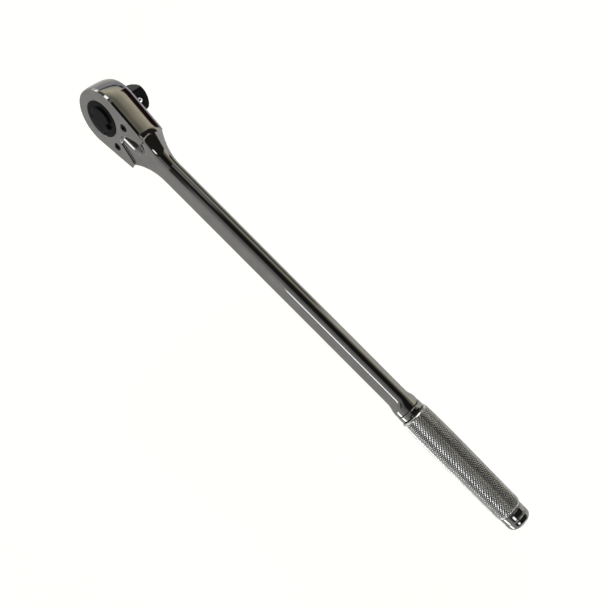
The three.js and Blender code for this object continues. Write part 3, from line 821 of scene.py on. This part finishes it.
def cut_ball_hole(piece):
    """Cut the detent's blind hole, with its staked mouth, into the square."""
    cutter = Surface()
    radius = BALL_RADIUS + 0.15
    profile = [(BALL_HOLE_FLOOR, radius), (SQUARE_HALF - 0.45, radius),
               (SQUARE_HALF - 0.1, radius + 0.45), (SQUARE_HALF + 0.5, radius + 0.6)]
    rows = []
    for x, r in profile:
        rows.append([towards_detent(x, BALL_Y + r * math.cos(a), r * math.sin(a))
                     for a in full_turn(48)])
    cutter.capped_skin(rows)
    cutter.weld()
    tool = cutter.place("cutter")
    cut = piece.modifiers.new("hole", "BOOLEAN")
    cut.operation = "DIFFERENCE"
    cut.solver = "EXACT"
    cut.object = tool
    graph = bpy.context.evaluated_depsgraph_get()
    made = bpy.data.meshes.new_from_object(piece.evaluated_get(graph), depsgraph=graph)
    piece.modifiers.clear()
    piece.data = made
    bpy.data.objects.remove(tool)
    for polygon in made.polygons:
        polygon.use_smooth = True
    made.set_sharp_from_angle(angle=math.radians(28))


def drive_detent_ball():
    """The polished ball that stands out of the square."""
    surface = Surface()
    x, y, z = towards_detent(BALL_OUT, BALL_Y, 0)
    tilts = [math.pi * i / 24 for i in range(1, 24)]
    profile = [(BALL_RADIUS * math.sin(tilt), y + BALL_RADIUS * math.cos(tilt)) for tilt in tilts]
    rows = turned_rows(profile, x, z, 48)
    surface.skin(rows)
    surface.fan(rows[0], (x, y + BALL_RADIUS, z))
    surface.fan(rows[-1], (x, y - BALL_RADIUS, z))
    surface.finish("drive_detent_ball", "polished", "drive_ball", BRIGHT)


# -------------------------------------------------------------------- screws


def cover_screw(node, z):
    """Round-headed screw with a hexagon socket and a broken edge."""
    surface = Surface()
    top = FACE_Y - 0.2
    steps = 48

    def socket(radius, y):
        plan = []
        for angle in full_turn(steps):
            away = abs((angle + math.pi / 6) % (math.pi / 3) - math.pi / 6)
            reach = radius * math.cos(math.pi / 6) / math.cos(math.pi / 6 - away)
            plan.append((SCREW_X + reach * math.cos(angle), z + reach * math.sin(angle)))
        return at_height(plan, y)

    rows = [socket(SOCKET_RADIUS * 0.35, top + 1.9), socket(SOCKET_RADIUS, top + 1.6),
            socket(SOCKET_RADIUS, top + 0.12), socket(SOCKET_RADIUS + 0.14, top)]
    profile = []
    for angle in quarter_turn(4):
        radius = SCREW_HEAD_RADIUS - SCREW_EDGE * (1 - math.sin(angle))
        profile.append((radius, top + SCREW_EDGE * (1 - math.cos(angle))))
    profile += [(SCREW_HEAD_RADIUS, FACE_Y + 2.5), (SCREW_HEAD_RADIUS - 0.2, FACE_Y + 2.7),
                (SCREW_SHANK_RADIUS, FACE_Y + 2.7), (SCREW_SHANK_RADIUS, COVER_Y[1] - 0.4),
                (SCREW_SHANK_RADIUS - 0.2, COVER_Y[1] - 0.2)]
    surface.capped_skin(rows + turned_rows(profile, SCREW_X, z, steps))
    surface.finish(node, "finished", "handle", BLACK)


# ------------------------------------------------------------- selector dial


def knob_outline(inset):
    """Radius and angle round the raised knob, notched on both sides for a finger."""
    plan = []
    for angle in full_turn(DIAL_STEPS):
        radius = KNOB_RADIUS - inset
        away = min(abs(angle), abs(angle - math.pi), abs(angle - 2 * math.pi))
        notch = NOTCH_RADIUS + inset
        across = NOTCH_CENTRE * math.sin(away)
        if across < notch:
            near = NOTCH_CENTRE * math.cos(away) - math.sqrt(notch * notch - across * across)
            radius = min(radius, near)
        plan.append((radius, angle))
    return plan


def selector_dial():
    """The dial with its rim, channel, knob and stem."""
    surface = Surface()

    def ring(plan, y):
        return [(r * math.cos(a + DIAL_SETTING), y, r * math.sin(a + DIAL_SETTING)) for r, a in plan]

    channel_in, channel_out, channel_edge, channel_depth = DIAL_CHANNEL
    channel_y = DIAL_RIM_Y + channel_depth
    profile = [(STEM_RADIUS - 0.3, ARM_TOP_Y), (STEM_RADIUS, ARM_TOP_Y - 0.3),
               (STEM_RADIUS, DIAL_BACK_Y), (DIAL_RADIUS - 0.2, DIAL_BACK_Y),
               (DIAL_RADIUS, DIAL_BACK_Y - 0.2), (DIAL_RADIUS, DIAL_RIM_Y + DIAL_EDGE)]
    for angle in quarter_turn(5)[1:]:
        radius = DIAL_RADIUS - DIAL_EDGE * (1 - math.cos(angle))
        profile.append((radius, DIAL_RIM_Y + DIAL_EDGE * (1 - math.sin(angle))))
    profile += [(channel_edge, DIAL_RIM_Y), (channel_out, channel_y), (channel_in, channel_y)]
    rows = [ring([(radius, a) for a in full_turn(DIAL_STEPS)], y) for radius, y in profile]
    for angle in quarter_turn(4):
        inset = KNOB_FOOT * (math.sin(angle) - 1)
        rows.append(ring(knob_outline(inset), channel_y - KNOB_FOOT * (1 - math.cos(angle))))
    for angle in quarter_turn(6):
        inset = KNOB_EDGE * (1 - math.cos(angle))
        rows.append(ring(knob_outline(inset), DIAL_TOP_Y + KNOB_EDGE * (1 - math.sin(angle))))
    surface.capped_skin(rows)
    surface.finish("selector_dial", "finished", "dial", BLACK)


# ------------------------------------------------------------------ grip end


def grip_radius(x):
    """Radius of the grip's barrel before knurling."""
    for (x0, r0), (x1, r1) in zip(GRIP_PROFILE, GRIP_PROFILE[1:]):
        if x <= x1:
            return lerp(r0, r1, (x - x0) / (x1 - x0))
    return GRIP_PROFILE[-1][1]


def knurled_grip():
    """Sleeve with a cut diamond knurl: every diamond is a low pyramid with a small flat top."""
    surface = Surface()
    mesh = surface.mesh
    # The crest layer is the mask of the knurl's painted shade and highlight: 1 on the diamonds' tops, 0
    # in the grooves.
    crest = mesh.verts.layers.float.new("crest")
    first, last = GRIP_PROFILE[1][0] + 0.4, GRIP_PROFILE[-2][0] - 0.4
    height = (last - first) / KNURL_ROWS
    step = 2 * math.pi / KNURL_COLUMNS

    def spot(column, row, lift):
        x = first + row * height
        radius = grip_radius(x) - KNURL_DEPTH + lift
        return (x, -radius * math.cos(column * step), radius * math.sin(column * step))

    def toward(centre, corner, lift):
        column = lerp(centre[0], corner[0], KNURL_FLAT)
        row = lerp(centre[1], corner[1], KNURL_FLAT)
        return spot(column, row, lift)

    for row in range(KNURL_ROWS + 1):
        for column in range(KNURL_COLUMNS):
            centre = (column + (0.5 if row % 2 == 0 else 0.0), row)
            left, right = (centre[0] - 0.5, row), (centre[0] + 0.5, row)
            below, above = (centre[0], row - 1), (centre[0], row + 1)
            corners = [left, below, right, above]
            if row == 0:
                corners = [left, right, above]
            if row == KNURL_ROWS:
                corners = [left, below, right]
            outer = [mesh.verts.new(spot(c[0], c[1], 0.0)) for c in corners]
            middle = centre
            if len(corners) == 3:
                middle = (sum(c[0] for c in corners) / 3, sum(c[1] for c in corners) / 3)
            lift = KNURL_DEPTH if len(corners) == 4 else KNURL_DEPTH * 0.5
            inner = [mesh.verts.new(toward(middle, c, lift)) for c in corners]
            for vert in inner:
                vert[crest] = 1.0
            for i in range(len(corners)):
                j = (i + 1) % len(corners)
                mesh.faces.new((outer[i], outer[j], inner[j], inner[i]))
            mesh.faces.new(inner)

    def border(row):
        return [spot(column, row, 0.0) for column in range(KNURL_COLUMNS)]

    bore = SPIGOT_RADIUS + FIT
    start_x, end_x = GRIP_PROFILE[0][0], GRIP_PROFILE[-1][0]
    plain = [(first - 0.35, 12.45), (start_x + 0.25, 12.1), (start_x, 11.85), (start_x, bore),
             (end_x, bore), (end_x, 11.65), (end_x - 0.3, 11.95), (last + 0.35, 12.15)]
    rings = [along_x(x, radius, KNURL_COLUMNS) for x, radius in plain]
    surface.skin([border(0), *rings, border(KNURL_ROWS)])
    # Outside the knurl the mask takes a middle value, so the plain bands get a little painted shade.
    for vert in mesh.verts:
        if not first < vert.co.x < last:
            vert[crest] = 0.6
    surface.finish("knurled_grip", "cut", "handle", KNURL, 20)


def grip_collar():
    """The polished ring before the grip."""
    start, end = COLLAR_X
    bore = SPIGOT_RADIUS + FIT
    profile = [(start, bore), (start, COLLAR_RADIUS - 0.5), (start + 0.6, COLLAR_RADIUS),
               (end - 0.9, COLLAR_RADIUS), (end, COLLAR_RADIUS - 1.1), (end, bore), (start, bore)]
    surface = Surface()
    surface.skin([along_x(x, radius) for x, radius in rounded(profile, 0.5)])
    surface.finish("grip_collar", "polished", "handle", CHROME)


def grip_end_cap():
    """The plain end beyond the knurling, with its groove and its stud."""
    start, end = CAP_X
    round_start = end - CAP_ROUND
    profile = [(start, STUD_RADIUS), (start, CAP_RADIUS - 0.4), (start + 0.4, CAP_RADIUS)]
    for x, depth in ((-0.8, 0), (-0.4, 0.6), (0.4, 0.6), (0.8, 0)):
        profile.append((CAP_GROOVE_X + x, CAP_RADIUS - depth))
    profile = rounded([*profile, (round_start, CAP_RADIUS)], 0.3)
    for angle in quarter_turn(12)[1:]:
        profile.append((round_start + CAP_ROUND * math.sin(angle),
                        CAP_RADIUS - CAP_ROUND * (1 - math.cos(angle))))
    stud = [(STUD_START_X, STUD_RADIUS - 0.4), (STUD_START_X + 0.4, STUD_RADIUS)]
    surface = Surface()
    rows = [along_x(x, radius) for x, radius in stud + profile]
    surface.capped_skin(rows)
    surface.finish("grip_end_cap", "polished", "handle", CHROME)


# ------------------------------------------------------------------- springs


def coil_spring(node, joint, body, fixed, free, coil, wire, turns, travel):
    """A coil spring that stands on its fixed end and reaches to its free end; its joint is not used."""
    surface = Surface()
    start = Vector(fixed)
    length = (Vector(free) - start).length
    axis = (Vector(free) - start).normalized()
    side = axis.orthogonal().normalized()
    other = axis.cross(side)
    steps = turns * SPRING_STEPS
    rows = []
    for i in range(steps + 1):
        turn = 2 * math.pi * turns * i / steps
        outward = side * math.cos(turn) + other * math.sin(turn)
        centre = start + axis * lerp(wire, length - wire, i / steps) + outward * coil
        rows.append([tuple(centre + (outward * math.cos(a) + axis * math.sin(a)) * wire)
                     for a in full_turn(WIRE_SIDES)])
    surface.capped_skin(rows)
    piece = surface.finish(node, "coiled", body, SPRING, 60)
    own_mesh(piece)


# --------------------------------------------------------------- put together

ratchet_body()
cover_plate()
cut_ball_hole(drive_gear())
drive_detent_ball()
cover_screw("cover_screw_upper", SCREW_Z)
cover_screw("cover_screw_lower", -SCREW_Z)
selector_dial()
knurled_grip()
grip_collar()
grip_end_cap()

drive_ends = [towards_detent(x, BALL_Y, 0) for x in DRIVE_SPRING_REACH]
coil_spring("drive_detent_spring", "drive_ball_press", "gear", *drive_ends, **DRIVE_SPRING)
dial_ends = [(DETENT_X, y, 0) for y in DIAL_SPRING_Y]
coil_spring("dial_detent_spring", "dial_ball_press", "handle", *dial_ends, **DIAL_SPRING)
plunger_ends = [at_dial_setting(x, ARM_MIDDLE_Y) for x in PLUNGER_SPRING_REACH]
coil_spring("shift_plunger_spring", "plunger_press", "dial", *plunger_ends, **PLUNGER_SPRING)

# Pieces inside the head, which keep their CAD shape.
SHOWN = {
    "gear_thrust_washer": BRONZE, "gear_seal_ring": RUBBER, "dial_seal_ring": RUBBER,
    "dial_detent_ball": BRIGHT, "shift_arm": BRIGHT, "dial_stem_clip": SPRING,
    "shift_plunger": BRIGHT, "reversing_pawl": BRIGHT, "pawl_pin": BRIGHT,
}
for node, material in SHOWN.items():
    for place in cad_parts[node].material_slots:
        place.material = material

# -------------------------------------------------------------------- studio

FLOOR_Z = -0.32
FLOOR_HALF_SIZE = 6.0
FLOOR_GLOW = 0.3

# Strips on the floor: name, from and to along X, from and to along Y.
STRIPS = [("strip_head", -0.50, -0.165, -0.73, -0.59), ("strip_grip", 0.2, 0.9, -0.62, -0.36)]
STRIP_STRENGTH = 9.0

# The world's colours are divided by its strength, so that none is above 1.
WORLD_STRENGTH = 8.0
LAMP_LEVEL = 3.5
LAMP_EDGE = (0.90, 0.94)
BACKDROP_LEVEL = 1.05
PANEL_SOFT = (0.012, 0.02)

# Brightness of the studio around the handle, by angle: 0 is level with the
# dial side, 90 straight up and 180 level with the square's side. The levels, and
# the panels after them, were fitted to the reflections in the photograph.
BANDS = [(0, .85), (20, .65), (40, .5), (48, .3), (54, .04), (98, .035), (106, .4), (113, .6),
         (118, .5), (121, .85), (127, 1.5), (132, 2.0), (144, 1.6), (156, 1.5), (180, 1.8)]
# Tint of the bands, each from its angle on.
TINTS = {0: (1, 0.99, 0.93), 54: (1, 1, 1), 106: (1.05, 1, 0.8), 113: (1.1, 1.02, 0.76),
         144: (1.05, 1, 0.9), 156: (1, 1, 1)}

# Panels in the same studio: angles round the handle, share of the direction
# along it, and colour.
PANELS = [
    ("end_flag", (12, 138), (0.27, 0.85), (0.06, 0.06, 0.05)),
    ("hollow_flag", (4, 56), (-0.45, -0.2), (0.14, 0.12, 0.11)),
    ("near_panel", (80, 118), (-0.34, -0.16), (0.6, 0.6, 0.55)),
    ("side_flag", (133, 160), (-0.42, 0.05), (0.05, 0.02, 0.02)),
    ("nose_flag", (146, 154), (-1.0, -0.45), (0.14, 0.13, 0.15)),
    ("nose_panel", (154, 220), (-1.0, -0.45), (1.05, 1.05, 1.12)),
    ("nose_dark", (56, 100), (-1.0, -0.64), (0.3, 0.3, 0.32)),
    ("nose_lamp", (60, 104), (-0.64, -0.42), (6.0, 6.0, 6.0)),
    ("cap_lamp", (30, 48), (0.38, 0.52), (6.0, 6.0, 6.0)),
]

CAMERA_PLACE = Vector((0.2052, -0.3409, 0.4840))
CAMERA_AIM = Vector((0.0261, 0.5382, -0.8424))
CAMERA_ROLL = math.radians(47.41)
CAMERA_LENS = 41.45


def emissive(name, strength):
    """A material that only gives off white light."""
    material = bpy.data.materials.new(name)
    material.use_nodes = True
    tree = material.node_tree
    tree.nodes.clear()
    emission = tree.nodes.new("ShaderNodeEmission")
    emission.inputs["Strength"].default_value = strength
    output = tree.nodes.new("ShaderNodeOutputMaterial")
    tree.links.new(emission.outputs["Emission"], output.inputs["Surface"])
    return material


def pale_finish():
    """Matt white with a weak glow."""
    material = bpy.data.materials.new("pale_floor")
    material.use_nodes = True
    shader = material.node_tree.nodes["Principled BSDF"]
    set_inputs(shader, {"Base Color": (0.92, 0.92, 0.92, 1), "Roughness": 0.9, "Specular IOR Level": 0.0,
                        "Emission Color": (1, 1, 1, 1), "Emission Strength": FLOOR_GLOW})
    return material


def stage_rectangle(name, x_range, y_range, z, material):
    """A level rectangle that belongs to the studio."""
    (low_x, high_x), (low_y, high_y) = x_range, y_range
    corners = [(low_x, low_y, z), (high_x, low_y, z), (high_x, high_y, z), (low_x, high_y, z)]
    data = bpy.data.meshes.new(name)
    data.from_pydata(corners, [], [(0, 1, 2, 3)])
    data.materials.append(material)
    sheet = bpy.data.objects.new(name, data)
    bpy.context.scene.collection.objects.link(sheet)


def floor_and_strips():
    """A plain pale floor well below the tool, with low light strips in front of the tool."""
    reach = (-FLOOR_HALF_SIZE, FLOOR_HALF_SIZE)
    stage_rectangle("floor", reach, reach, FLOOR_Z, pale_finish())
    glow = emissive("strip_light", STRIP_STRENGTH)
    for name, low_x, high_x, low_y, high_y in STRIPS:
        stage_rectangle(name, (low_x, high_x), (low_y, high_y), FLOOR_Z + 0.002, glow)


def math_node(tree, operation, first, second=None):
    """The result of a sum on sockets or numbers."""
    node = tree.nodes.new("ShaderNodeMath")
    node.operation = operation
    for socket, value in zip(node.inputs, (first, second)):
        if value is None:
            continue
        if isinstance(value, (int, float)):
            socket.default_value = value
        else:
            tree.links.new(value, socket)
    return node.outputs["Value"]


def colour_mix(tree, name, share, first, second):
    """A colour from a socket, changed by a share to three levels of brightness."""
    mix = tree.nodes.new("ShaderNodeMixRGB")
    mix.name = name
    tree.links.new(share, mix.inputs["Fac"])
    tree.links.new(first, mix.inputs["Color1"])
    mix.inputs["Color2"].default_value = (*(part / WORLD_STRENGTH for part in second), 1)
    return mix.outputs["Color"]


def soft_step(tree, source, start, end):
    """Rise from 0 to 1 between two values of a source."""
    node = tree.nodes.new("ShaderNodeMapRange")
    node.interpolation_type = "SMOOTHSTEP"
    set_inputs(node, {"From Min": start, "From Max": end})
    tree.links.new(source, node.inputs["Value"])
    return node.outputs["Result"]


def window(tree, source, low, high, soft):
    """1 between two values of a source and 0 outside them, with soft edges."""
    rise = soft_step(tree, source, low - soft, low + soft)
    fall = soft_step(tree, source, high - soft, high + soft)
    return math_node(tree, "SUBTRACT", rise, fall)


def band_colours(tree, share):
    """The bands, by the share of a half turn from the dial side over the top."""
    ramp = tree.nodes.new("ShaderNodeValToRGB")
    elements = ramp.color_ramp.elements
    elements.remove(elements[-1])
    tint = (1, 1, 1)
    for i, (degrees, level) in enumerate(BANDS):
        tint = TINTS.get(degrees, tint)
        element = elements[0] if i == 0 else elements.new(degrees / 180)
        element.position = degrees / 180
        element.color = (*(level * part / WORLD_STRENGTH for part in tint), 1)
    tree.links.new(share, ramp.inputs["Fac"])
    return ramp.outputs["Color"]


def with_end_lamps(tree, colour, along):
    """Broad lamps beyond both ends of the tool, which light the floor."""
    outward = math_node(tree, "ABSOLUTE", along)
    lamp = math_node(tree, "MULTIPLY", soft_step(tree, outward, *LAMP_EDGE), LAMP_LEVEL / WORLD_STRENGTH)
    total = tree.nodes.new("ShaderNodeMixRGB")
    total.blend_type = "ADD"
    total.inputs["Fac"].default_value = 1.0
    tree.links.new(colour, total.inputs["Color1"])
    tree.links.new(lamp, total.inputs["Color2"])
    return total.outputs["Color"]


def studio_world():
    """Bands and panels that the chrome reflects, behind a plain backdrop for the camera."""
    world = bpy.data.worlds.new("studio")
    bpy.context.scene.world = world
    world.use_nodes = True
    tree = world.node_tree
    background = tree.nodes["Background"]
    coordinate = tree.nodes.new("ShaderNodeTexCoord")
    split = tree.nodes.new("ShaderNodeSeparateXYZ")
    tree.links.new(coordinate.outputs["Generated"], split.inputs["Vector"])
    toward_dial = math_node(tree, "MULTIPLY", split.outputs["Y"], -1.0)
    turn = math_node(tree, "ARCTAN2", split.outputs["Z"], toward_dial)
    share = math_node(tree, "DIVIDE", turn, math.pi)
    colour = with_end_lamps(tree, band_colours(tree, share), split.outputs["X"])
    around_soft, along_soft = PANEL_SOFT
    for name, (start, end), (low, high), shade in PANELS:
        around = window(tree, share, start / 180, end / 180, around_soft)
        along = window(tree, split.outputs["X"], low, high, along_soft)
        inside = math_node(tree, "MULTIPLY", around, along)
        colour = colour_mix(tree, name, inside, colour, shade)
    seen = tree.nodes.new("ShaderNodeLightPath").outputs["Is Camera Ray"]
    colour = colour_mix(tree, "plain_backdrop", seen, colour, (BACKDROP_LEVEL,) * 3)
    tree.links.new(colour, background.inputs["Color"])
    background.inputs["Strength"].default_value = WORLD_STRENGTH


def camera():
    """Camera at the dial side, above the tool and turned about its own axis."""
    data = bpy.data.cameras.new("camera")
    data.sensor_width = 36.0
    data.lens = CAMERA_LENS
    data.clip_start = 0.01
    data.clip_end = 50.0
    placed = bpy.data.objects.new("camera", data)
    right = CAMERA_AIM.cross(Vector((0, 0, 1))).normalized()
    up = right.cross(CAMERA_AIM).normalized()
    turned_right = right * math.cos(CAMERA_ROLL) + up * math.sin(CAMERA_ROLL)
    turned_up = up * math.cos(CAMERA_ROLL) - right * math.sin(CAMERA_ROLL)
    turn = Matrix((turned_right, turned_up, -CAMERA_AIM)).transposed()
    placed.matrix_world = Matrix.Translation(CAMERA_PLACE) @ turn.to_4x4()
    bpy.context.scene.collection.objects.link(placed)
    bpy.context.scene.camera = placed


floor_and_strips()
studio_world()
camera()
bpy.context.scene.view_settings.view_transform = "Standard"
